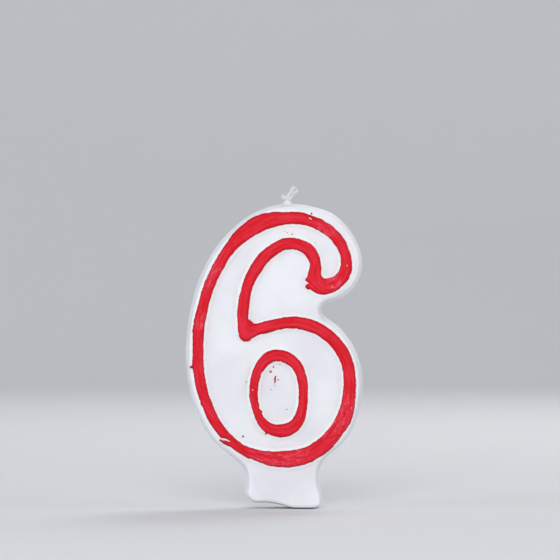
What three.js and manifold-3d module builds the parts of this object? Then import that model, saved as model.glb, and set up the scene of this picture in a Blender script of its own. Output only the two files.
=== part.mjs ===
// Numeral birthday candle in the shape of a 6: a white wax casting with a wax foot that is pushed
// into the cake, two raised outlines of red wax on its front, and a cotton wick cast down its middle.
// Millimetres, +Z up, front towards -Y. The origin is below the middle of the numeral, at the lowest
// face of the foot.
import * as THREE from "three";
import { mergeVertices } from "three/addons/utils/BufferGeometryUtils.js";
import Module from "manifold-3d";

// The casting
const THICKNESS = 10; // between the flat front and back faces
const EDGE_ROUND = 1.3; // rounding where the faces meet the rim
const EDGE_FACETS = 3;
const POINT_SPACING = 1.15; // between the points of a contour

// The ridges that follow the numeral on both faces
const PLINTH_HEIGHT = 0.4; // white step under the red outline on the front
const OUTLINE_HEIGHT = 0.8; // red wax above that step
const OUTLINE_ROUND = 0.5; // rounding of the red wax's shoulders
const OUTLINE_FACETS = 2;
const BACK_RIDGE_HEIGHT = PLINTH_HEIGHT + OUTLINE_HEIGHT; // all white on the back
const ROOT = 0.6; // how far a ridge reaches into the casting that it is part of

// The wick
const WICK_RADIUS = 0.65;
const WICK_CLEARANCE = 0.3; // between the wick and the wax around it
const WICK_X = 3.4; // where it runs, beside the middle
const WICK_BOTTOM = 14;
const WICK_SIDES = 10;
const WICK_STEPS = 36;
const TUFT_STEPS = 5;

const FAR = 100; // past the whole candle, for the blocks that cut it

// The rim of the casting as [x, z], clockwise from the crown: head, notch, bowl, foot, bowl, back.
const RIM = [
  [2.4, 76], [9, 75.5], [15.2, 73.3], [20, 68], [22.2, 61.5], [20.6, 55.8], [16.3, 52.1],
  [12.3, 50.7], [12, 48.8], [16.6, 45], [20.2, 40], [22.2, 33], [21.5, 25], [18.4, 17.4],
  [12.8, 12.2], [11.5, 9.4], [11.6, 5.7], [12.2, 2.6], [11.4, 0.5], [8.8, -0.3], [5.4, -0.1],
  [1.8, 0.8], [-1.6, 1.4], [-5.2, 1.5], [-7.1, 3.4], [-6.9, 7], [-7.5, 10], [-10, 12.4],
  [-15.2, 16.9], [-19.4, 24.4], [-21.8, 34.6], [-21.5, 45.4], [-19.2, 55.8], [-14.4, 65.2],
  [-8.5, 71.4], [-3.4, 74.5],
];

// The middle line of the raised outline as [x, z, width], clockwise from the crown.
const OUTLINE = [
  [3.4, 72.4, 3.1], [9.4, 71.6, 2.8], [14.8, 68.4, 2.7], [17.8, 63.6, 2.5], [17.9, 59.2, 3],
  [15.6, 56.2, 3.1], [12.2, 55.3, 4.2], [10.4, 56, 4], [10.2, 58, 3.4], [10.4, 61.4, 2.7],
  [8.6, 64.7, 2.8], [3.8, 66.1, 2.8], [-2, 63, 2.8], [-6, 56.8, 2.8], [-7.6, 50, 2.7],
  [-7.6, 46.6, 2.8], [-6.8, 43.7, 3.4], [-4.4, 44.6, 3], [-1.2, 45.4, 2.7], [3.6, 46.4, 2.8],
  [8.6, 45.9, 3], [14.2, 42.7, 3], [18.1, 37, 2.9], [19, 30.4, 3], [17.4, 22.6, 3.6],
  [13, 16.5, 3.7], [7.8, 13.3, 4], [3, 12.4, 4.2], [-3.6, 13.2, 3], [-9.6, 16, 2.3],
  [-14.4, 21.5, 2.4], [-17.7, 29.4, 2.6], [-18.8, 38, 2.7], [-18.1, 48, 2.8], [-14.8, 58.4, 2.6],
  [-9.6, 66.4, 3.2], [-3.6, 70.9, 4],
];

// The middle line of the ring round the counter, in the same form.
const COUNTER = [
  [1, 38.3, 2.8], [5.1, 36.6, 2.6], [7, 32.8, 2.4], [7.4, 28.6, 2.3], [6.9, 23.8, 2.6],
  [5.2, 20.8, 3], [1.6, 19.4, 3.1], [-1.9, 20.5, 2.5], [-3.7, 23.2, 2], [-4.9, 27.3, 2],
  [-4.8, 31.3, 2.2], [-3.7, 34.8, 2.3], [-1.8, 37.3, 2.8],
];

// The wick above the wax as [x, z]: the main tuft, the short tuft that splays left, and a side strand.
const MAIN_TUFT = [[3.4, 75], [3.5, 76.8], [4.3, 78.6], [5.3, 80.4]];
const LEFT_TUFT = [[3.5, 76.6], [2.9, 77.3], [1.9, 78.1]];
const SIDE_STRAND = [[4.4, 78.4], [5.3, 79.1], [6.1, 79.5]];
const LEFT_TUFT_RADIUS = 0.38;
const SIDE_STRAND_RADIUS = 0.4;

const wasm = await Module();
wasm.setup();

// A three.js geometry as a manifold-3d solid.
function solidOf(geometry) {
  const bare = geometry.clone();
  bare.deleteAttribute("normal");
  bare.deleteAttribute("uv");
  const merged = mergeVertices(bare, 1e-4);
  return new wasm.Manifold(
    new wasm.Mesh({
      numProp: 3,
      vertProperties: merged.attributes.position.array,
      triVerts: new Uint32Array(merged.index.array),
    }),
  );
}

// A named mesh of a solid.
function meshOf(name, solid, material) {
  const { numProp, numVert, vertProperties, triVerts } = solid.getMesh();
  const positions = new Float32Array(numVert * 3);
  for (let i = 0; i < numVert; i++) {
    positions.set(vertProperties.subarray(i * numProp, i * numProp + 3), i * 3);
  }
  const geometry = new THREE.BufferGeometry();
  geometry.setAttribute("position", new THREE.BufferAttribute(positions, 3));
  geometry.setIndex(new THREE.BufferAttribute(triVerts, 1));
  geometry.computeVertexNormals();
  const mesh = new THREE.Mesh(geometry, material);
  mesh.name = name;
  return mesh;
}

// Evenly spaced points of the closed curve through the given ones. The third number rides along.
function closedCurve(points) {
  const through = points.map(([x, z, width = 0]) => new THREE.Vector3(x, z, width));
  const curve = new THREE.CatmullRomCurve3(through, true, "centripetal");
  return curve.getSpacedPoints(Math.round(curve.getLength() / POINT_SPACING)).slice(0, -1);
}

// One edge of the band round a middle line, without the loops that a tight bend makes on its inside.
function bandEdge(line, side) {
  const half = (p) => p.z / 2;
  const edge = line.map((p, i) => {
    const before = line.at(i - 1);
    const after = line[(i + 1) % line.length];
    const along = new THREE.Vector2(after.x - before.x, after.y - before.y).normalize();
    return new THREE.Vector2(p.x - side * along.y * half(p), p.y + side * along.x * half(p));
  });
  const slack = 0.02;
  return edge.filter((e) => line.every((q) => Math.hypot(e.x - q.x, e.y - q.y) > half(q) - slack));
}

// The band round a clockwise middle line, as a shape with a hole. Its outer edge is turned round,
// because ExtrudeGeometry puts a hole's points in order only where the outer edge is counterclockwise.
function bandShape(points) {
  const line = closedCurve(points);
  const shape = new THREE.Shape(bandEdge(line, 1).reverse());
  shape.holes.push(new THREE.Path(bandEdge(line, -1)));
  return shape;
}

// A shape drawn in x and z, extruded along -Y from one depth to another. The rounding goes all round.
function slab(shape, fromY, toY, round = 0, facets = 1) {
  const geometry = new THREE.ExtrudeGeometry(shape, {
    depth: fromY - toY - 2 * round,
    bevelEnabled: round > 0,
    bevelThickness: round,
    bevelSize: round,
    bevelOffset: -round,
    bevelSegments: facets,
  });
  geometry.translate(0, 0, round - fromY);
  geometry.rotateX(Math.PI / 2);
  return solidOf(geometry);
}

// A round rod along a path in x and z.
function rod(path, radius, steps) {
  const curve = new THREE.CatmullRomCurve3(path.map(([x, z]) => new THREE.Vector3(x, 0, z)));
  const section = new THREE.Shape();
  const corner = (i) => (2 * Math.PI * i) / WICK_SIDES;
  for (let i = 0; i < WICK_SIDES; i++) {
    const [u, v] = [radius * Math.cos(corner(i)), radius * Math.sin(corner(i))];
    if (i === 0) section.moveTo(u, v);
    else section.lineTo(u, v);
  }
  return solidOf(new THREE.ExtrudeGeometry(section, { steps, extrudePath: curve }));
}

const FRONT = -THICKNESS / 2;
const BACK = THICKNESS / 2;

// The casting: the numeral with its foot, a ridge on each face, and the bore that the wick fills.
function waxCasting() {
  const rim = new THREE.Shape(closedCurve(RIM).map((p) => new THREE.Vector2(p.x, p.y)));
  let wax = slab(rim, BACK, FRONT, EDGE_ROUND, EDGE_FACETS);
  for (const points of [OUTLINE, COUNTER]) {
    const band = bandShape(points);
    wax = wax.add(slab(band, FRONT + ROOT, FRONT - PLINTH_HEIGHT));
    wax = wax.add(slab(band, BACK + BACK_RIDGE_HEIGHT, BACK - ROOT, OUTLINE_ROUND));
  }
  const boreRadius = WICK_RADIUS + WICK_CLEARANCE;
  const bore = new THREE.CylinderGeometry(boreRadius, boreRadius, FAR - WICK_BOTTOM, WICK_SIDES);
  bore.rotateX(Math.PI / 2);
  bore.translate(WICK_X, 0, (FAR + WICK_BOTTOM) / 2);
  const below = new THREE.BoxGeometry(FAR, FAR, FAR);
  below.translate(0, 0, -FAR / 2);
  return wax.subtract(solidOf(bore)).subtract(solidOf(below));
}

// A red outline: it lies on the plinth, and the half that would be buried in it is cut away.
function redOutline(points) {
  const seat = FRONT - PLINTH_HEIGHT;
  const buried = seat + 2 * OUTLINE_ROUND;
  const bead = slab(bandShape(points), buried, seat - OUTLINE_HEIGHT, OUTLINE_ROUND, OUTLINE_FACETS);
  const behind = new THREE.BoxGeometry(FAR, FAR, 2 * FAR);
  behind.translate(0, seat + FAR / 2, 0);
  return bead.subtract(solidOf(behind));
}

// The wick: a straight run down the bore, and two tufts and a strand where its end has come apart.
function cottonWick() {
  const buried = [[WICK_X, WICK_BOTTOM], [WICK_X, 30], [WICK_X, 50]];
  return rod([...buried, ...MAIN_TUFT], WICK_RADIUS, WICK_STEPS)
    .add(rod(LEFT_TUFT, LEFT_TUFT_RADIUS, TUFT_STEPS))
    .add(rod(SIDE_STRAND, SIDE_STRAND_RADIUS, TUFT_STEPS));
}

const whiteWax = new THREE.MeshStandardMaterial({ color: 0xe7eaef, roughness: 0.5, metalness: 0 });
const redWax = new THREE.MeshStandardMaterial({ color: 0xdc2331, roughness: 0.45, metalness: 0 });
const cotton = new THREE.MeshStandardMaterial({ color: 0xe9e6e6, roughness: 0.8, metalness: 0 });

const candle = new THREE.Group();
candle.add(meshOf("wax_body", waxCasting(), whiteWax));
candle.add(meshOf("numeral_outline", redOutline(OUTLINE), redWax));
candle.add(meshOf("counter_outline", redOutline(COUNTER), redWax));
candle.add(meshOf("wick", cottonWick(), cotton));

export default candle;
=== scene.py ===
# Birthday candle in the shape of a 6: white moulded wax, hand-laid red outlines and a frayed cotton wick.
# The outlines come from the frame. Shapes are worked out in millimetres and scaled down at the end.
import math

import bmesh
import bpy
import numpy as np
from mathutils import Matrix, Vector


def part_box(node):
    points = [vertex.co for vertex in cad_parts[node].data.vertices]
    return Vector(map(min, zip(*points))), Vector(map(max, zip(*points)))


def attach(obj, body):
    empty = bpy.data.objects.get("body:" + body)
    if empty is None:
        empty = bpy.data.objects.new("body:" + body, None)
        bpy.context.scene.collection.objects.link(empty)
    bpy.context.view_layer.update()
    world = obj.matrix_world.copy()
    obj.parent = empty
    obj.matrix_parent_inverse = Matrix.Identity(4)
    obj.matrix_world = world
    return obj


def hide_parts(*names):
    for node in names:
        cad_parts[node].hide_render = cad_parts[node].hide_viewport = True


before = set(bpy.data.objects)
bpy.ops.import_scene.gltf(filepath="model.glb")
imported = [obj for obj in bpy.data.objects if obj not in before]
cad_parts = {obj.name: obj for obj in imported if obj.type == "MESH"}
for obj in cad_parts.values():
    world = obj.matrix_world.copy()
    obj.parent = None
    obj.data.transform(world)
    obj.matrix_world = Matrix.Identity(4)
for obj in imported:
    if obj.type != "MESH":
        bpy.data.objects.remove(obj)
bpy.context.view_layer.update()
millimetre = 0.001
helpers = []  # lines that the node trees measure from, removed at the end


class Wire:
    # One output socket of a node tree. Arithmetic on it adds Math nodes.
    def __init__(self, tree, socket=None):
        self.tree = tree
        self.socket = socket

    def node(self, kind, settings=None, inputs=None, output=0):
        made = self.tree.nodes.new(kind)
        for name, value in (settings or {}).items():
            setattr(made, name, value)
        for key, values in (inputs or {}).items():
            for value in values if isinstance(values, list) else [values]:
                if isinstance(value, Wire):
                    self.tree.links.new(value.socket, made.inputs[key])
                else:
                    made.inputs[key].default_value = value
        return Wire(self.tree, made.outputs[output] if made.outputs else None)

    def twin(self, output):
        # Another output of the same node.
        return Wire(self.tree, self.socket.node.outputs[output])

    def maths(self, operation, *values):
        return self.node("ShaderNodeMath", {"operation": operation}, dict(enumerate((self, *values))))

    def flipped(self, operation, value):
        return self.node("ShaderNodeMath", {"operation": operation}, {0: value, 1: self})

    def __add__(self, other):
        return self.maths("ADD", other)

    def __radd__(self, other):
        return self.flipped("ADD", other)

    def __sub__(self, other):
        return self.maths("SUBTRACT", other)

    def __rsub__(self, other):
        return self.flipped("SUBTRACT", other)

    def __mul__(self, other):
        return self.maths("MULTIPLY", other)

    def __rmul__(self, other):
        return self.flipped("MULTIPLY", other)

    def __truediv__(self, other):
        return self.maths("DIVIDE", other)

    def __rtruediv__(self, other):
        return self.flipped("DIVIDE", other)

    def __pow__(self, other):
        return self.maths("POWER", other)

    def __neg__(self):
        return self.flipped("SUBTRACT", 0.0)

    def __abs__(self):
        return self.maths("ABSOLUTE")

    def clipped(self, low, high):
        return self.maths("MAXIMUM", low).maths("MINIMUM", high)

    def smooth(self, fromLow, fromHigh, toLow=0.0, toHigh=1.0):
        inputs = {0: self, 1: fromLow, 2: fromHigh, 3: toLow, 4: toHigh}
        return self.node("ShaderNodeMapRange", {"interpolation_type": "SMOOTHSTEP"}, inputs)

    def vector(self, operation, *values, output=0):
        inputs = dict(enumerate((self, *values)))
        return self.node("ShaderNodeVectorMath", {"operation": operation}, inputs, output)

    def measure(self, operation, *values):
        return self.vector(operation, *values, output="Value")

    def scaled(self, factor):
        return self.node("ShaderNodeVectorMath", {"operation": "SCALE"}, {"Vector": self, "Scale": factor})

    def parts(self):
        # The x, y and z of a vector.
        split = self.node("ShaderNodeSeparateXYZ", None, {0: self})
        return split, split.twin("Y"), split.twin("Z")

    def joined(self, x, y, z):
        return self.node("ShaderNodeCombineXYZ", None, {"X": x, "Y": y, "Z": z})

    def noise(self, scale, detail=2.0, roughness=0.5, seed=0.0, output="Fac"):
        inputs = {"Vector": self, "W": seed, "Scale": scale, "Detail": detail, "Roughness": roughness}
        return self.node("ShaderNodeTexNoise", {"noise_dimensions": "4D"}, inputs, output)

    def mixed(self, first, second):
        return self.node("ShaderNodeMix", {"data_type": "RGBA"}, {0: self, 6: first, 7: second}, 2)

    def position(self):
        return self.node("GeometryNodeInputPosition")

    def moved(self, offset):
        return self.node("GeometryNodeSetPosition", None, {"Geometry": self, "Offset": offset})

    def store(self, title, value, kind="FLOAT"):
        settings = {"data_type": kind, "domain": "POINT"}
        inputs = {"Geometry": self, "Name": title, "Value": value}
        return self.node("GeometryNodeStoreNamedAttribute", settings, inputs)

    def stored(self, title, kind="FLOAT"):
        settings = {"data_type": kind}
        return self.node("GeometryNodeInputNamedAttribute", settings, {"Name": title}, "Attribute")


class Grower:
    # A Geometry Nodes modifier with named inputs, made into a plain mesh at the end.
    kinds = {float: "NodeSocketFloat", int: "NodeSocketInt", bpy.types.Object: "NodeSocketObject"}

    def __init__(self, name, values):
        self.piece = bpy.data.objects.new(name, bpy.data.meshes.new(name))
        bpy.context.scene.collection.objects.link(self.piece)
        self.tree = bpy.data.node_groups.new(name, "GeometryNodeTree")
        for way in ("INPUT", "OUTPUT"):
            self.tree.interface.new_socket("Geometry", in_out=way, socket_type="NodeSocketGeometry")
        made = {}
        for title, value in values.items():
            kind = self.kinds[type(value)]
            made[title] = self.tree.interface.new_socket(title, in_out="INPUT", socket_type=kind)
        self.modifier = self.piece.modifiers.new(name, "NODES")
        self.modifier.node_group = self.tree
        for title, value in values.items():
            self.modifier[made[title].identifier] = value
        self.entry = Wire(self.tree).node("NodeGroupInput", output="Geometry")

    def value(self, title):
        return self.entry.twin(title)

    def shape(self, title):
        return self.entry.node("GeometryNodeObjectInfo", None, {"Object": self.value(title)}, "Geometry")

    def grown(self, geometry, material):
        inputs = {"Geometry": geometry, "Scale": (millimetre,) * 3}
        scaled = geometry.node("GeometryNodeTransform", None, inputs)
        smooth = scaled.node("GeometryNodeSetShadeSmooth", None, {"Geometry": scaled})
        whole = smooth.node("GeometryNodeRealizeInstances", None, {"Geometry": smooth})
        painted = whole.node("GeometryNodeSetMaterial", None, {"Geometry": whole, "Material": material})
        self.entry.node("NodeGroupOutput", None, {"Geometry": painted})
        graph = bpy.context.evaluated_depsgraph_get()
        graph.update()
        plain = bpy.data.meshes.new_from_object(self.piece.evaluated_get(graph))
        self.piece.modifiers.remove(self.modifier)
        self.piece.data = plain
        print(self.piece.name, len(plain.polygons), "faces")
        return self.piece


# Outlines are read from the frame's own solids.
weldGap = 1e-6  # metres between corners that are one corner
levelSlack = 1e-5  # metres that an edge may be off the level asked for
creaseTurn = 0.1  # change of slope that makes an edge part of an outline


def levelLoops(nodeName, depth):
    # The outlines that a CAD node has at one depth, each a list of (x, z) in millimetres.
    mesh = bmesh.new()
    mesh.from_mesh(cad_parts[nodeName].data)
    bmesh.ops.remove_doubles(mesh, verts=mesh.verts, dist=weldGap)
    beside = {}
    for edge in mesh.edges:
        level = all(abs(v.co.y - depth * millimetre) < levelSlack for v in edge.verts)
        slopes = [abs(face.normal.y) for face in edge.link_faces]
        if level and max(slopes) - min(slopes) > creaseTurn:
            for v in edge.verts:
                beside.setdefault(v, []).append(edge.other_vert(v))
    loops = []
    while beside:
        ends = [v for v in beside if len(beside[v]) == 1]
        here = min(ends or beside, key=lambda v: (v.co.x, v.co.z))
        loop = []
        while here:
            loop.append((here.co.x / millimetre, here.co.z / millimetre))
            here = next((v for v in beside.pop(here) if v in beside), None)
        loops.append(loop)
    mesh.free()
    return sorted(loops, key=len, reverse=True)


def eased(loop, spacing=0.3, rounds=8):
    # The same closed outline in small even steps, with its corners softened.
    corners = np.vstack([loop, loop[:1]])
    reached = np.concatenate([[0], np.cumsum(np.linalg.norm(np.diff(corners, axis=0), axis=1))])
    stops = np.linspace(0, reached[-1], round(reached[-1] / spacing), endpoint=False)
    line = np.column_stack([np.interp(stops, reached, corners[:, axis]) for axis in (0, 1)])
    for _ in range(rounds):
        line = (np.roll(line, 1, axis=0) + 2 * line + np.roll(line, -1, axis=0)) / 4
    return line


def middleLine(edges):
    # The closed line halfway between the two edges of a band.
    outer, inner = edges
    starts, steps = inner, np.roll(inner, -1, axis=0) - inner
    away = outer[:, None] - starts
    share = ((away * steps).sum(2) / (steps**2).sum(1)).clip(0, 1)
    nearest = starts + share[..., None] * steps
    gaps = np.linalg.norm(outer[:, None] - nearest, axis=2)
    return eased((outer + nearest[np.arange(len(outer)), gaps.argmin(1)]) / 2)


def lineHelper(name, lines, closed=True):
    # Lines drawn flat, for the node trees to measure from: x stays x, and height becomes y.
    points = [(*point, 0.0) for line in lines for point in line]
    edges = []
    first = 0
    for line in lines:
        edges += [(first + i, first + i + 1) for i in range(len(line) - 1)]
        if closed:
            edges.append((first + len(line) - 1, first))
        first += len(line)
    mesh = bpy.data.meshes.new(name)
    mesh.from_pydata(points, edges, [])
    helper = bpy.data.objects.new(name, mesh)
    bpy.context.scene.collection.objects.link(helper)
    helpers.append(helper)
    return helper


fillSlack = 0.02  # how far off the filled outline a place inside it may seem to be
fieldReach = 4  # voxels on each side of a surface in which its field is kept
settlingRounds = 2


def lineDistance(flat, lines):
    inputs = {0: lines, "Sample Position": flat}
    return flat.node("GeometryNodeProximity", {"target_element": "EDGES"}, inputs, "Distance")


def planDistance(flat, lines):
    # Distance from closed lines, negative inside them.
    curve = flat.node("GeometryNodeMeshToCurve", None, {"Mesh": lines})
    filled = flat.node("GeometryNodeFillCurve", None, {"Curve": curve})
    inputs = {0: filled, "Sample Position": flat}
    outside = flat.node("GeometryNodeProximity", {"target_element": "FACES"}, inputs, "Distance")
    sign = outside.maths("GREATER_THAN", fillSlack) * 2.0 - 1.0
    return lineDistance(flat, lines) * sign


def taperDistance(flat, lines):
    # Distance from the nearest of some tapering lines, each a list of (x, z, radius). Negative inside.
    nearest = None
    for line in lines:
        for (x, z, radius), (nextX, nextZ, nextRadius) in zip(line, line[1:]):
            step = Vector((nextX - x, nextZ - z, 0.0))
            away = flat.vector("SUBTRACT", (x, z, 0.0))
            share = (away.measure("DOT_PRODUCT", tuple(step)) / step.length_squared).clipped(0.0, 1.0)
            gap = away.vector("SUBTRACT", share.joined(share * step.x, share * step.y, 0.0))
            distance = gap.measure("LENGTH") - (share * (nextRadius - radius) + radius)
            nearest = distance if nearest is None else nearest.maths("MINIMUM", distance)
    return nearest


def skin(grower, field, low, high, voxel):
    # A closed mesh round the points where the field is negative, settled exactly onto the field's zero.
    reach = fieldReach * voxel
    place = grower.entry.position()
    density = (-field(place)).clipped(-reach, reach)
    inputs = {"Density": density, "Background": -reach, "Min": low, "Max": high}
    for axis, a, b in zip("XYZ", low, high):
        inputs["Resolution " + axis] = math.ceil((b - a) / voxel)
    volume = place.node("GeometryNodeVolumeCube", None, inputs)
    mesh = volume.node("GeometryNodeVolumeToMesh", None, {"Volume": volume, "Threshold": 0.0})
    for _ in range(settlingRounds):
        mesh = mesh.moved(mesh.node("GeometryNodeInputNormal").scaled(-field(mesh.position())))
    return mesh


def flatPlace(mesh):
    x, y, z = mesh.position().parts()
    return mesh.joined(x, z, 0.0)


def paint(name, fixed):
    # A material, its shader, and the place on the piece in millimetres.
    material = bpy.data.materials.new(name)
    material.use_nodes = True
    shader = material.node_tree.nodes["Principled BSDF"]
    for socket, value in fixed.items():
        shader.inputs[socket].default_value = value
    place = Wire(material.node_tree).node("ShaderNodeTexCoord", output="Object").scaled(1 / millimetre)
    return material, shader, place


def feed(shader, socket, wire):
    wire.tree.links.new(wire.socket, shader.inputs[socket])


def attribute(place, title, output="Fac"):
    return place.node("ShaderNodeAttribute", {"attribute_name": title}, output=output)


def bump(height):
    return height.node("ShaderNodeBump", None, {"Strength": 1.0, "Distance": millimetre, "Height": height})


whitePaint = {
    "shader": {
        "IOR": 1.44,
        "Subsurface Weight": 0.8,
        "Subsurface Radius": (1.0, 0.85, 0.8),
        "Subsurface Scale": 0.0009,
    },
    "wax": (0.82, 0.835, 0.862, 1),
    "cloudy wax": (0.765, 0.765, 0.80, 1),
    "cloud scale": 0.09,
    "cloud contrast": (0.38, 0.7),
    "front": -3.0,  # the painted pink reflection, the painted edge highlight and the dust specks lie in front of this y
    "painted pink reflection": (0.80, 0.655, 0.69, 1),
    "reflection patch scale": 0.25,
    "reflection patch contrast": (0.42, 0.75),
    "reflection fade": (2.2, 0.6),  # distances from the red wax at which it starts and is full
    "reflection strength": 0.35,
    "painted edge highlight": (0.94, 0.95, 0.955, 1),
    "highlight fade": (0.75, 0.35),
    "highlight strength": 0.75,
    "dust": (0.05, 0.045, 0.06, 1),
    "specks": [(9.4, 73.5, 0.30), (-7.6, 18.1, 0.32), (3.3, 24.8, 0.19), (-0.65, 29.75, 0.18)],
    "speck wobble scale": 3.0,
    "roughness": (0.42, 0.56),
    "sheen scale": 0.5,
    "sheen contrast": (0.3, 0.75),
    "grain": 0.03,
    "grain scale": 2.2,
    "fine grain": 0.008,
    "fine grain scale": 9.0,
}


def whiteWax():
    material, shader, place = paint("white_paraffin", whitePaint["shader"])
    fromRed = attribute(place, "fromRed")
    x, y, z = place.parts()
    flat = place.joined(x, 0.0, z)
    onFront = y.maths("LESS_THAN", whitePaint["front"])
    cloudy = place.noise(whitePaint["cloud scale"], detail=3.0).smooth(*whitePaint["cloud contrast"])
    colour = cloudy.mixed(whitePaint["wax"], whitePaint["cloudy wax"])
    # Painted reflection and shade: a patchy pink tint on the front near the red wax stands in for red light
    # bounced off the ridges and the shade beside them.
    patchy = place.noise(whitePaint["reflection patch scale"], detail=4.0).smooth(*whitePaint["reflection patch contrast"])
    paintedReflection = fromRed.smooth(*whitePaint["reflection fade"]) * patchy * onFront * whitePaint["reflection strength"]
    colour = paintedReflection.mixed(colour, whitePaint["painted pink reflection"])
    # Painted highlight: a thin bright line on the front just outside the red wax, where the ridge's flank
    # would catch the light.
    paintedHighlight = fromRed.smooth(*whitePaint["highlight fade"]) * onFront * whitePaint["highlight strength"]
    colour = paintedHighlight.mixed(colour, whitePaint["painted edge highlight"])
    for speckX, speckZ, radius in whitePaint["specks"]:
        away = flat.measure("DISTANCE", (speckX, 0.0, speckZ))
        away = away + (place.noise(whitePaint["speck wobble scale"]) - 0.5) * radius
        colour = (away.smooth(radius, radius * 0.5) * onFront).mixed(colour, whitePaint["dust"])
    feed(shader, "Base Color", colour)
    sheen = place.noise(whitePaint["sheen scale"], detail=4.0)
    feed(shader, "Roughness", sheen.smooth(*whitePaint["sheen contrast"], *whitePaint["roughness"]))
    grain = place.noise(whitePaint["grain scale"], detail=3.0) * whitePaint["grain"]
    fineGrain = place.noise(whitePaint["fine grain scale"]) * whitePaint["fine grain"]
    feed(shader, "Normal", bump(grain + fineGrain))
    return material


redPaint = {
    "shader": {
        "IOR": 1.46,
        "Specular IOR Level": 0.16,
        "Subsurface Weight": 0.2,
        "Subsurface Radius": (1.0, 0.2, 0.15),
        "Subsurface Scale": 0.0005,
    },
    "red": (0.67, 0.004, 0.013, 1),
    "pale red": (0.75, 0.022, 0.05, 1),
    "broad streaks": (0.16, 0.16, 1.3),  # scale along the stroke, twice, and across it
    "broad contrast": (0.36, 0.62),
    "deep red": (0.51, 0.003, 0.010, 1),
    "fine streaks": (0.5, 0.5, 5.0),
    "fine contrast": (0.52, 0.34),
    "fine strength": 0.45,
    "edge shade fade": (0.5, 0.12),  # distances from the wax's edge at which the painted shade of its rounded edge starts and is full
    "edge shade strength": 0.8,
    "scuff": (0.76, 0.075, 0.125, 1),
    "scuff streaks": (0.4, 0.4, 1.7),
    "scuff contrast": (0.46, 0.64),
    "scuff strength": 0.85,
    "fleck": (0.82, 0.28, 0.36, 1),
    "fleck streaks": (1.1, 1.1, 2.4),
    "fleck contrast": (0.62, 0.7),
    "fleck strength": 0.8,
    "scuffed": [  # (x, z, radius)
        (18.2, 25.0, 5.5), (15.5, 19.2, 4.5), (4.5, 12.4, 6.5), (-2.0, 12.9, 5.0),
        (-18.2, 47.0, 3.0), (13.2, 69.8, 3.2), (-15.0, 58.0, 4.0), (14.9, 56.4, 2.5),
    ],
    "fully scuffed": 0.3,
    "roughness": (0.62, 0.42),
    "sheen contrast": (0.3, 0.7),
    "streak depth": 0.02,
    "lump depth": 0.04,
    "lump scale": 2.5,
}


def redWax():
    material, shader, place = paint("red_wax", redPaint["shader"])
    stroke = attribute(place, "stroke", "Vector")
    inset = attribute(place, "inset")

    def streaks(title, detail, roughness):
        return stroke.vector("MULTIPLY", redPaint[title]).noise(1.0, detail, roughness)

    broad = streaks("broad streaks", detail=3.0, roughness=0.6).smooth(*redPaint["broad contrast"])
    colour = broad.mixed(redPaint["red"], redPaint["pale red"])
    fine = streaks("fine streaks", detail=3.0, roughness=0.65)
    dark = fine.smooth(*redPaint["fine contrast"]) * redPaint["fine strength"]
    colour = dark.mixed(colour, redPaint["deep red"])
    # Painted shade: the red darkens towards its edges, where the rounded bead turns away from the light.
    edge = inset.smooth(*redPaint["edge shade fade"]) * redPaint["edge shade strength"]
    colour = edge.mixed(colour, redPaint["deep red"])
    x, y, z = place.parts()
    flat = place.joined(x, 0.0, z)
    worn = 0.0
    for spotX, spotZ, radius in redPaint["scuffed"]:
        worn = flat.measure("DISTANCE", (spotX, 0.0, spotZ)).smooth(radius, 0.0) + worn
    worn = worn.clipped(0.0, redPaint["fully scuffed"]) / redPaint["fully scuffed"]
    scuff = streaks("scuff streaks", detail=4.0, roughness=0.66).smooth(*redPaint["scuff contrast"]) * worn
    colour = (scuff * redPaint["scuff strength"]).mixed(colour, redPaint["scuff"])
    fleck = streaks("fleck streaks", detail=3.0, roughness=0.6).smooth(*redPaint["fleck contrast"]) * worn
    colour = (fleck * redPaint["fleck strength"]).mixed(colour, redPaint["fleck"])
    feed(shader, "Base Color", colour)
    feed(shader, "Roughness", fine.smooth(*redPaint["sheen contrast"], *redPaint["roughness"]))
    lumps = place.noise(redPaint["lump scale"], detail=3.0) * redPaint["lump depth"]
    feed(shader, "Normal", bump(fine * redPaint["streak depth"] + lumps))
    return material


cottonPaint = {
    "shader": {
        "Subsurface Weight": 0.4,
        "Subsurface Radius": (1.0, 0.9, 0.9),
        "Subsurface Scale": 0.0003,
    },
    "cotton": (0.82, 0.80, 0.81, 1),
    "shade": (0.66, 0.64, 0.68, 1),
    "shade scale": 1.6,
    "shade contrast": (0.35, 0.7),
    "roughness": (0.55, 0.8),
    "sheen scale": 3.0,
    "sheen contrast": (0.3, 0.7),
    "fibre depth": 0.03,
    "fibre scale": 14.0,
}


def wickCotton():
    material, shader, place = paint("wick_cotton", cottonPaint["shader"])
    mottled = place.noise(cottonPaint["shade scale"], detail=3.0).smooth(*cottonPaint["shade contrast"])
    feed(shader, "Base Color", mottled.mixed(cottonPaint["cotton"], cottonPaint["shade"]))
    sheen = place.noise(cottonPaint["sheen scale"])
    feed(shader, "Roughness", sheen.smooth(*cottonPaint["sheen contrast"], *cottonPaint["roughness"]))
    feed(shader, "Normal", bump(place.noise(cottonPaint["fibre scale"]) * cottonPaint["fibre depth"]))
    return material


def belongs(piece, slot, *nodes):
    if nodes:
        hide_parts(*nodes)
    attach(piece, "root")


# The wax casting follows the outlines of the solids that it and its neighbours stand for.
redSeat = -5.4  # y of the face that the red wax lies on
rimLevel = 3.7  # y at which the rim starts to round off
bandEdges = [eased(loop) for loop in levelLoops("numeral_outline", redSeat)]
ringEdges = [eased(loop) for loop in levelLoops("counter_outline", redSeat)]

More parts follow.
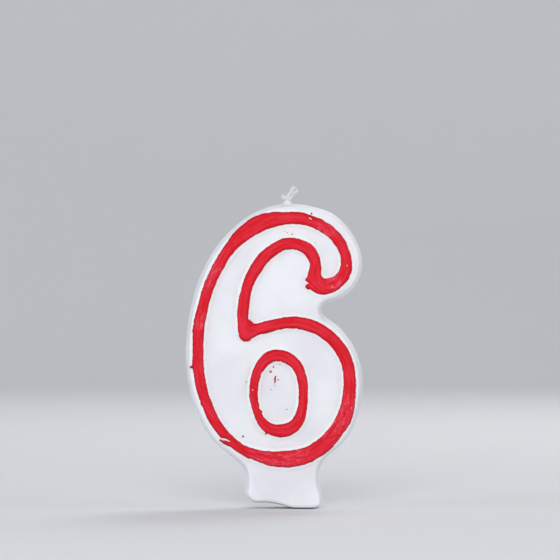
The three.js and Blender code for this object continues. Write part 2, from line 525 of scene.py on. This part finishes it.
waxShape = {
    "Rim": lineHelper("rimEdge", [eased(loop, rounds=5) for loop in levelLoops("wax_body", rimLevel)]),
    "Bands": lineHelper("allEdges", bandEdges + ringEdges),
    "Seed": 3.0,
    "Half thickness": 5.0,
    "Edge round": 0.7,
    "Bottom round": 0.2,
    "Rim inset": 0.1,
    "Rim stretch": 0.98,
    "Draft": 0.16,
    "Foot draft share": 0.3,
    "Foot height": 5.0,
    "Seam height": 0.095,
    "Seam spread": 0.08,
    "Unevenness": 0.14,
    "Unevenness scale": 0.13,
    "Front ridge": 0.45,
    "Front crest": -0.4,  # distance from a band's edge, negative inside it
    "Back ridge": 1.05,
    "Back crest": -1.3,
    "Ridge shoulder": 0.9,
    "Wick x": 3.4,
    "Collar radius": 0.82,
    "Collar flare": 0.42,
    "Collar base": 75.0,
    "Collar top": 76.9,
    "Collar blend": 0.5,
    "Collar lumps": 0.35,
    "Lump scale": 1.1,
    "Bore radius": 0.75,
    "Bore bottom": 13.8,
    "Bore top": 75.4,
}
waxVoxel = 0.32
waxLow = (-23.2, -7.0, -1.2)  # corners of the space that is searched for the wax's surface
waxHigh = (23.2, 7.0, 78.4)


def waxBlock(wax, place):
    # The numeral with its drafted rim, its ridges and the parting line round it.
    x, y, z = place.parts()
    flat = place.joined(x, z, 0.0)
    toBand = planDistance(flat, wax.shape("Bands"))
    shoulder = wax.value("Ridge shoulder")
    frontRidge = toBand.smooth(shoulder, wax.value("Front crest"), 0.0, wax.value("Front ridge"))
    backRidge = toBand.smooth(shoulder, wax.value("Back crest"), 0.0, wax.value("Back ridge"))
    onFront = y.maths("LESS_THAN", 0.0)
    ridge = onFront * frontRidge + (1.0 - onFront) * backRidge
    sway = place.noise(wax.value("Unevenness scale"), 1.0, seed=wax.value("Seed")) - 0.5
    sway = sway * wax.value("Unevenness")
    edgeRound = wax.value("Edge round")
    toRim = planDistance(flat, wax.shape("Rim")) + wax.value("Rim inset")
    draft = z.smooth(0.0, wax.value("Foot height"), wax.value("Foot draft share"), 1.0) * wax.value("Draft")
    across = (toRim + abs(y) * draft) * wax.value("Rim stretch") + edgeRound
    through = abs(y) - (wax.value("Half thickness") + ridge + sway) + edgeRound
    corner = (across.maths("MAXIMUM", 0.0) ** 2.0 + through.maths("MAXIMUM", 0.0) ** 2.0) ** 0.5
    block = corner + across.maths("MAXIMUM", through).maths("MINIMUM", 0.0) - edgeRound
    seam = (y * y / -wax.value("Seam spread")).maths("EXPONENT") * wax.value("Seam height")
    return block - seam


def waxCollar(wax, place, fromWick):
    # The wax that climbs the wick.
    height = place.parts()[2]
    lumps = place.noise(wax.value("Lump scale"), 1.0, seed=wax.value("Seed")) - 0.5
    lumps = lumps * wax.value("Collar lumps")
    below = (wax.value("Collar top") - height).maths("MAXIMUM", 0.0)
    collar = fromWick - wax.value("Collar radius") - below * below * wax.value("Collar flare") + lumps
    top = height - wax.value("Collar top") + lumps
    collar = collar.maths("SMOOTH_MAX", top, wax.value("Collar blend"))
    return collar.maths("MAXIMUM", wax.value("Collar base") - height)


def waxCasting(material):
    wax = Grower("candle_wax", waxShape)

    def field(place):
        x, y, z = place.parts()
        fromWick = ((x - wax.value("Wick x")) ** 2.0 + y * y) ** 0.5
        collar = waxCollar(wax, place, fromWick)
        whole = waxBlock(wax, place).maths("SMOOTH_MIN", collar, wax.value("Collar blend"))
        bore = (wax.value("Bore bottom") - z).maths("MAXIMUM", z - wax.value("Bore top"))
        bore = bore.maths("MAXIMUM", fromWick - wax.value("Bore radius"))
        return whole.maths("SMOOTH_MAX", -z, wax.value("Bottom round")).maths("MAXIMUM", -bore)

    mesh = skin(wax, field, waxLow, waxHigh, waxVoxel)
    mesh = mesh.store("fromRed", planDistance(flatPlace(mesh), wax.shape("Bands")))
    piece = wax.grown(mesh, material)
    belongs(piece, "white_wax", "wax_body")
    return piece


print("white wax")
whiteMaterial = whiteWax()
candleWax = waxCasting(whiteMaterial)


# The red outlines: how they stand on the white ridge, and how their edges wander.
redShape = {
    "Seed": 7.0,
    "Seat": 5.38,  # how far in front of the middle their edge lies
    "Root": 5.05,  # how far back they reach, inside the white ridge
    "Height": 0.7,
    "Shoulder": 0.8,
    "Skirt slope": 1.5,
    "Wander": 0.44,
    "Wander scale": 0.22,
    "Ragged": 0.16,
    "Ragged scale": 0.9,
    "Extra ragged": 0.5,
    "Streak depth": 0.2,
}
redStreaks = (0.18, 0.18, 1.1)  # scale along the stroke, twice, and across it
redVoxel = 0.19
redMargin = 0.9  # round the CAD's outline, in the space that is searched for the surface
redFront = -6.8
redBack = -4.5

# Tails and slivers are tapering lines of (x, z, radius) that are added to the wax or cut out of it.
# Ragged spots are (x, z, radius).
numeralDetails = {
    "tails": [
        [(-13.15, 17.2, 0.13), (-12.3, 16.6, 0.26), (-10.6, 15.9, 0.4)],
        [(-20.55, 35.3, 0.16), (-20.0, 35.6, 0.2), (-19.4, 35.9, 0.3)],
        [(8.35, 57.0, 0.32), (9.0, 57.15, 0.85), (9.6, 57.2, 1.5)],
        [(8.4, 55.35, 0.35), (9.0, 55.5, 0.8), (9.9, 55.9, 1.6)],
        [(-6.8, 43.55, 1.75), (-6.9, 44.1, 1.7)],
        [(-6.8, 46.9, 0.6), (-5.6, 45.7, 0.7), (-4.2, 45.2, 0.7)],
        [(-19.95, 44.4, 0.2), (-19.3, 44.3, 0.6)],
    ],
    "slivers": [
        [(-12.95, 17.6, 0.1), (-11.9, 17.3, 0.2), (-10.9, 16.9, 0.1)],
        [(7.8, 56.2, 0.34), (8.55, 56.15, 0.16)],
    ],
    "ragged": [
        (-12.0, 17.0, 2.5), (-20.0, 36.0, 2.0), (13.4, 70.2, 3.0), (-18.0, 26.5, 3.0),
        (-6.5, 14.0, 3.0), (19.5, 58.0, 2.5),
    ],
}
ringDetails = {
    "tails": [[(-1.9, 18.8, 0.16), (-1.3, 19.6, 0.5)]],
    "slivers": [],
    "ragged": [(-3.6, 24.6, 3.2), (1.0, 36.8, 2.6), (-3.4, 33.6, 1.8)],
}


def strokePoints(red):
    # Points along the middle of the stroke, each with its direction and how far round it is.
    curve = red.entry.node("GeometryNodeMeshToCurve", None, {"Mesh": red.shape("Middle")})
    total = curve.node("GeometryNodeSplineLength", output="Length")
    turned = curve.node("GeometryNodeSplineParameter", output="Length") / total * math.tau
    curve = curve.store("turned", turned).store("bend", total / math.tau)
    points = curve.node("GeometryNodeCurveToPoints", {"mode": "EVALUATED"}, {"Curve": curve})
    return points.store("ahead", points.twin("Tangent"), "FLOAT_VECTOR")


def strokePlace(points, flat):
    # Place along and across the stroke. The way along it runs round a circle, so that it has no end.
    inputs = {"Geometry": points, "Sample Position": flat}
    index = points.node("GeometryNodeSampleNearest", {"domain": "POINT"}, inputs)

    def sampled(value, kind):
        settings = {"data_type": kind, "domain": "POINT"}
        return points.node("GeometryNodeSampleIndex", settings, {0: points, "Value": value, "Index": index})

    step = flat.vector("SUBTRACT", sampled(points.position(), "FLOAT_VECTOR"))
    ahead = sampled(points.stored("ahead", "FLOAT_VECTOR"), "FLOAT_VECTOR")
    bend = sampled(points.stored("bend"), "FLOAT")
    angle = sampled(points.stored("turned"), "FLOAT") + step.measure("DOT_PRODUCT", ahead) / bend
    across = ahead.vector("CROSS_PRODUCT", step).parts()[2]
    return flat.joined(angle.maths("COSINE") * bend, angle.maths("SINE") * bend, across)


def raggedEdge(red, details, flat):
    # Distance from the edge of the red wax, negative inside it.
    seed = red.value("Seed")
    ragged = red.value("Ragged")
    for x, z, radius in details["ragged"]:
        near = flat.measure("DISTANCE", (x, z, 0.0)).smooth(radius, 0.0)
        ragged = ragged + near * red.value("Extra ragged")
    slow = (flat.noise(red.value("Wander scale"), 1.0, seed=seed) - 0.5) * red.value("Wander")
    quick = (flat.noise(red.value("Ragged scale"), 3.0, 0.65, seed=seed) - 0.5) * ragged
    edge = planDistance(flat, red.shape("Edges")) + slow + quick * 2.0
    edge = edge.maths("MINIMUM", taperDistance(flat, details["tails"]) + quick)
    if details["slivers"]:
        edge = edge.maths("MAXIMUM", -taperDistance(flat, details["slivers"]))
    return edge


def redOutline(name, node, edges, details, material):
    lines = {
        "Edges": lineHelper(name + "Edges", edges),
        "Middle": lineHelper(name + "Middle", [middleLine(edges)]),
    }
    red = Grower(name, redShape | lines)
    points = strokePoints(red)

    def field(place):
        x, y, z = place.parts()
        flat = place.joined(x, z, 0.0)
        edge = raggedEdge(red, details, flat)
        inwards = (-edge / red.value("Shoulder")).clipped(0.0, 1.0)
        dome = 1.0 - (1.0 - inwards) ** 2.0
        streaks = strokePlace(points, flat).vector("MULTIPLY", redStreaks)
        streaks = streaks.noise(1.0, 2.0, seed=red.value("Seed")) - 0.5
        top = red.value("Seat") + dome * (red.value("Height") + streaks * red.value("Streak depth"))
        top = top - edge.maths("MAXIMUM", 0.0) * red.value("Skirt slope")
        return (-y - top).maths("MAXIMUM", red.value("Root") + y)

    low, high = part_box(node)
    low = (low.x / millimetre - redMargin, redFront, low.z / millimetre - redMargin)
    high = (high.x / millimetre + redMargin, redBack, high.z / millimetre + redMargin)
    mesh = skin(red, field, low, high, redVoxel)
    flat = flatPlace(mesh)
    mesh = mesh.store("stroke", strokePlace(points, flat), "FLOAT_VECTOR")
    mesh = mesh.store("inset", -raggedEdge(red, details, flat))
    piece = red.grown(mesh, material)
    belongs(piece, "red_wax", node)
    return piece


print("red outlines")
redMaterial = redWax()
numeralRed = redOutline("numeral_red_wax", "numeral_outline", bandEdges, numeralDetails, redMaterial)
counterRed = redOutline("counter_red_wax", "counter_outline", ringEdges, ringDetails, redMaterial)


# Splashed wax, with its drops at (x, z, radius)
redFlecks = {
    "Seed": 5,
    "Stretch": 0.35,
    "Depth": 0.35,
    "Lumps": 0.16,
    "Lump scale": 4.0,
    "places": [
        (-0.8, 34.1, 0.24), (-0.6, 34.3, 0.16), (0.0, 35.35, 0.21), (1.6, 36.0, 0.13),
        (0.5, 32.95, 0.19), (0.38, 32.6, 0.22), (0.36, 32.2, 0.24), (0.4, 31.8, 0.22), (0.3, 31.45, 0.16),
        (1.2, 32.2, 0.18), (0.3, 30.7, 0.13), (3.4, 68.8, 0.15), (4.6, 68.4, 0.17),
        (10.4, 66.3, 0.1), (-6.8, 31.7, 0.15), (2.7, 69.1, 0.08),
    ],
}
whiteCrumbs = {
    "Seed": 11,
    "Stretch": 0.5,
    "Depth": 0.4,
    "Lumps": 0.16,
    "Lump scale": 4.0,
    "places": [(9.0, 72.35, 0.2), (9.35, 72.15, 0.16), (18.3, 60.6, 0.14), (-5.2, 29.7, 0.13)],
}
lookFrom = 9.0  # how far in front of the middle the places are looked at from


def splashes(name, settings, targets, slot, material):
    # Small drops on the front of some pieces. A place that has none of them behind it gets no drop.
    drops = settings["places"]
    starts = lineHelper(name + "Places", [[(x, z) for x, z, radius in drops]], closed=False)
    sizes = starts.data.attributes.new("size", "FLOAT", "POINT")
    sizes.data.foreach_set("value", [radius for x, z, radius in drops])
    values = {key: value for key, value in settings.items() if key != "places"}
    targets = {f"Target {number}": target for number, target in enumerate(targets, 1)}
    grower = Grower(name, values | {"Places": starts} | targets)
    seed = grower.value("Seed")
    spread = grower.value("Stretch")
    points = grower.shape("Places")
    surface = points.node("GeometryNodeJoinGeometry", None, {0: [grower.shape(title) for title in targets]})
    inputs = {"Geometry": surface, "Scale": (1 / millimetre,) * 3}
    surface = surface.node("GeometryNodeTransform", None, inputs)
    x, z, _ = points.position().parts()
    inputs = {"Target Geometry": surface, "Source Position": x.joined(x, -lookFrom, z)}
    inputs |= {"Ray Direction": (0.0, 1.0, 0.0), "Ray Length": lookFrom}
    hit = x.node("GeometryNodeRaycast", None, inputs, "Hit Position")
    inputs = {"Mesh": points, "Position": hit, "Selection": hit.twin("Is Hit")}
    points = points.node("GeometryNodeMeshToPoints", None, inputs)
    inputs = {"Min": (0.0, 0.0, 0.0), "Max": (0.0, math.pi, 0.0), "Seed": seed}
    turn = points.node("FunctionNodeRandomValue", {"data_type": "FLOAT_VECTOR"}, inputs)
    inputs = {2: 1.0 - spread, 3: spread + 1.0, "Seed": seed}
    stretch = points.node("FunctionNodeRandomValue", {"data_type": "FLOAT"}, inputs, 1)
    drop = points.node("GeometryNodeMeshIcoSphere", None, {"Radius": 1.0, "Subdivisions": 3})
    size = points.stored("size")
    inputs = {"Points": points, "Instance": drop, "Rotation": turn}
    inputs["Scale"] = size.joined(size * stretch, size * grower.value("Depth"), size)
    drops = points.node("GeometryNodeInstanceOnPoints", None, inputs)
    drops = drops.node("GeometryNodeRealizeInstances", None, {"Geometry": drops})
    lumps = drops.position().noise(grower.value("Lump scale"), output="Color")
    lumps = lumps.vector("SUBTRACT", (0.5, 0.5, 0.5)).scaled(grower.value("Lumps"))
    piece = grower.grown(drops.moved(lumps), material)
    belongs(piece, slot)


print("splashed wax")
splashes("red_wax_flecks", redFlecks, [candleWax], "red_wax", redMaterial)
splashes("white_wax_crumbs", whiteCrumbs, [numeralRed, counterRed], "white_wax", whiteMaterial)


# The wick: three plies of filaments, which part and fray above the wax.
wickShape = {
    "Seed": 2,
    "Filaments": 17,
    "Filament sides": 5,
    "Filament radius": 0.13,
    "Filament twist": 1.95,
    "Ply radius": 0.3,
    "Ply spread": 0.3,
    "Ply twist": 1.3,
    "Step": 0.4,
    "Parting height": 76.6,
    "Parting length": 1.0,
    "Fray": 0.7,
    "Fray length": 1.1,
    "Uneven ends": 0.5,
}
# The run that all plies share, and then each one's own end, as (x, z)
wickBuried = [(3.4, 14.4), (3.4, 35.0), (3.4, 55.0), (3.4, 70.0), (3.4, 75.5)]
wickPaths = {
    "Left ply": [(3.3, 76.9), (2.9, 77.35), (1.95, 78.1)],
    "Long ply": [(3.45, 77.1), (4.2, 78.6), (5.2, 80.35)],
    "Bent ply": [(3.75, 77.0), (4.65, 78.3), (5.35, 79.1), (6.05, 79.55)],
}
goldenTurn = 2.4  # radians between filaments, which spreads them evenly over a ply


def swung(curves, angle, reach):
    # Curves moved off their own line, by reach, towards a direction that turns with the angle.
    tangent = curves.node("GeometryNodeInputTangent")
    side = tangent.vector("CROSS_PRODUCT", (0.0, 0.0, 1.0)).vector("NORMALIZE")
    shift = side.scaled(angle.maths("COSINE") * reach)
    shift = shift.vector("ADD", angle.joined(0.0, 0.0, angle.maths("SINE") * reach))
    return curves.moved(shift)


def twistedPly(wick, title, number, thread):
    # One ply: a curve along its path, copied into filaments that twist round it.
    parting = wick.value("Parting height")
    curve = thread.node("GeometryNodeMeshToCurve", None, {"Mesh": wick.shape(title)})
    curve = curve.node("GeometryNodeCurveSplineType", {"spline_type": "BEZIER"}, {"Curve": curve})
    curve = curve.node("GeometryNodeCurveSetHandles", {"handle_type": "AUTO"}, {"Curve": curve})
    inputs = {"Curve": curve, "Length": wick.value("Step")}
    curve = curve.node("GeometryNodeResampleCurve", {"mode": "LENGTH"}, inputs)
    height = curve.position().parts()[1]
    together = height.smooth(parting + wick.value("Parting length"), parting)
    angle = height * wick.value("Ply twist") + number * math.tau / len(wickPaths)
    curve = swung(curve, angle, together * wick.value("Ply spread"))
    inputs = {"Geometry": curve, "Amount": wick.value("Filaments")}
    strands = curve.node("GeometryNodeDuplicateElements", {"domain": "SPLINE"}, inputs)
    index = strands.twin("Duplicate Index")
    strands = strands.store("strand", index)
    strand = strands.stored("strand")
    frayed = height.smooth(parting, parting + wick.value("Fray length")) * wick.value("Fray") + 1.0
    spread = ((strand + 0.5) / wick.value("Filaments")) ** 0.5 * wick.value("Ply radius") * frayed
    strands = swung(strands, strand * goldenTurn - height * wick.value("Filament twist"), spread)
    length = strands.node("GeometryNodeSplineLength", output="Length")
    inputs = {2: 0.0, 3: wick.value("Uneven ends"), "ID": index, "Seed": wick.value("Seed") + number}
    short = strands.node("FunctionNodeRandomValue", {"data_type": "FLOAT"}, inputs, 1)
    inputs = {"Curve": strands, 4: 0.0, 5: length - short}
    strands = strands.node("GeometryNodeTrimCurve", {"mode": "LENGTH"}, inputs)
    inputs = {"Curve": strands, "Profile Curve": thread, "Fill Caps": True}
    return strands.node("GeometryNodeCurveToMesh", None, inputs)


def cottonWick(material):
    lines = {title: lineHelper(title, [wickBuried + path], closed=False) for title, path in wickPaths.items()}
    wick = Grower("cotton_wick", wickShape | lines)
    inputs = {"Resolution": wick.value("Filament sides"), "Radius": wick.value("Filament radius")}
    thread = wick.entry.node("GeometryNodeCurvePrimitiveCircle", None, inputs)
    plies = [twistedPly(wick, title, number, thread) for number, title in enumerate(lines)]
    joined = thread.node("GeometryNodeJoinGeometry", None, {0: plies})
    inputs = {"Geometry": joined, "Rotation": (math.pi / 2, 0.0, 0.0)}
    piece = wick.grown(joined.node("GeometryNodeTransform", None, inputs), material)
    belongs(piece, "wick_cotton", "wick")


print("wick")
cottonWick(wickCotton())


# The studio, in metres: it doesn't belong to the candle.
studio = {
    "radius": 1.6,
    "bend": 0.5,
    "bend steps": 16,
    "sides": 96,
    "height": 1.6,
    "weld gap": 1e-5,
    "paper": {"Base Color": (0.74, 0.745, 0.76, 1), "Roughness": 0.9},
    "air": {"Color": (0.92, 0.95, 1.0, 1), "Strength": 0.33},
}


def studioFloor():
    # A round bowl of paper: a flat floor that bends up into a wall.
    bend = studio["bend"]
    flatRadius = studio["radius"] - bend
    profile = [(0.0, 0.0), (flatRadius, 0.0)]
    for i in range(1, studio["bend steps"] + 1):
        angle = math.pi / 2 * i / studio["bend steps"]
        profile.append((flatRadius + bend * math.sin(angle), bend * (1 - math.cos(angle))))
    profile.append((studio["radius"], studio["height"]))
    mesh = bmesh.new()
    line = [mesh.verts.new((r, 0, z)) for r, z in profile]
    line += [mesh.edges.new(pair) for pair in zip(line, line[1:])]
    bmesh.ops.spin(mesh, geom=line, cent=(0, 0, 0), axis=(0, 0, 1), angle=math.tau, steps=studio["sides"])
    bmesh.ops.remove_doubles(mesh, verts=mesh.verts, dist=studio["weld gap"])
    bmesh.ops.recalc_face_normals(mesh, faces=mesh.faces)
    bmesh.ops.reverse_faces(mesh, faces=mesh.faces)
    data = bpy.data.meshes.new("studio_floor")
    mesh.to_mesh(data)
    mesh.free()
    data.shade_smooth()
    floor = bpy.data.objects.new("studio_floor", data)
    bpy.context.scene.collection.objects.link(floor)
    material, shader, place = paint("studio_paper", studio["paper"])
    data.materials.append(material)


white = (1.0, 1.0, 1.0)
candleMiddle = (0.0, 0.0, 0.04)
lamps = {
    "key": {"place": (-0.04, -0.95, 0.46), "size": 0.42, "power": 4.85},
    "left fill": {"place": (-0.9, -0.45, 0.25), "size": 0.6, "power": 3.2, "colour": (0.88, 0.93, 1.0)},
    "right fill": {"place": (0.9, -0.35, 0.3), "size": 0.6, "power": 2.0},
    "back": {"place": (0.3, 0.6, 0.7), "size": 0.4, "power": 2.2},
    "wall": {"place": (0.0, 0.5, 1.2), "size": 0.8, "power": 3.6, "aim": (0.0, 1.6, 0.25)},
}


def studioLights():
    for name, lamp in lamps.items():
        data = bpy.data.lights.new(name, "AREA")
        data.size = lamp["size"]
        data.energy = lamp["power"]
        data.color = lamp.get("colour", white)
        light = bpy.data.objects.new(name, data)
        light.location = lamp["place"]
        towards = Vector(lamp.get("aim", candleMiddle)) - light.location
        light.rotation_euler = towards.to_track_quat("-Z", "Y").to_euler()
        bpy.context.scene.collection.objects.link(light)
    world = bpy.data.worlds.new("studio")
    world.use_nodes = True
    for socket, value in studio["air"].items():
        world.node_tree.nodes["Background"].inputs[socket].default_value = value
    bpy.context.scene.world = world


camera = {
    "lens": 250,
    "sensor": 36,
    "view width": 140.0,
    "aim x": 1.6,
    "aim height": 57.0,
}


def studioCamera():
    data = bpy.data.cameras.new("camera")
    data.lens = camera["lens"]
    data.sensor_width = camera["sensor"]
    away = camera["view width"] * camera["lens"] / camera["sensor"]
    eye = bpy.data.objects.new("camera", data)
    eye.location = Vector((camera["aim x"], -away, camera["aim height"])) * millimetre
    eye.rotation_euler = (math.pi / 2, 0, 0)
    bpy.context.scene.collection.objects.link(eye)
    bpy.context.scene.camera = eye
    bpy.context.scene.view_settings.view_transform = "Standard"


print("studio")
studioFloor()
studioLights()
studioCamera()

for helper in helpers:
    bpy.data.objects.remove(helper)
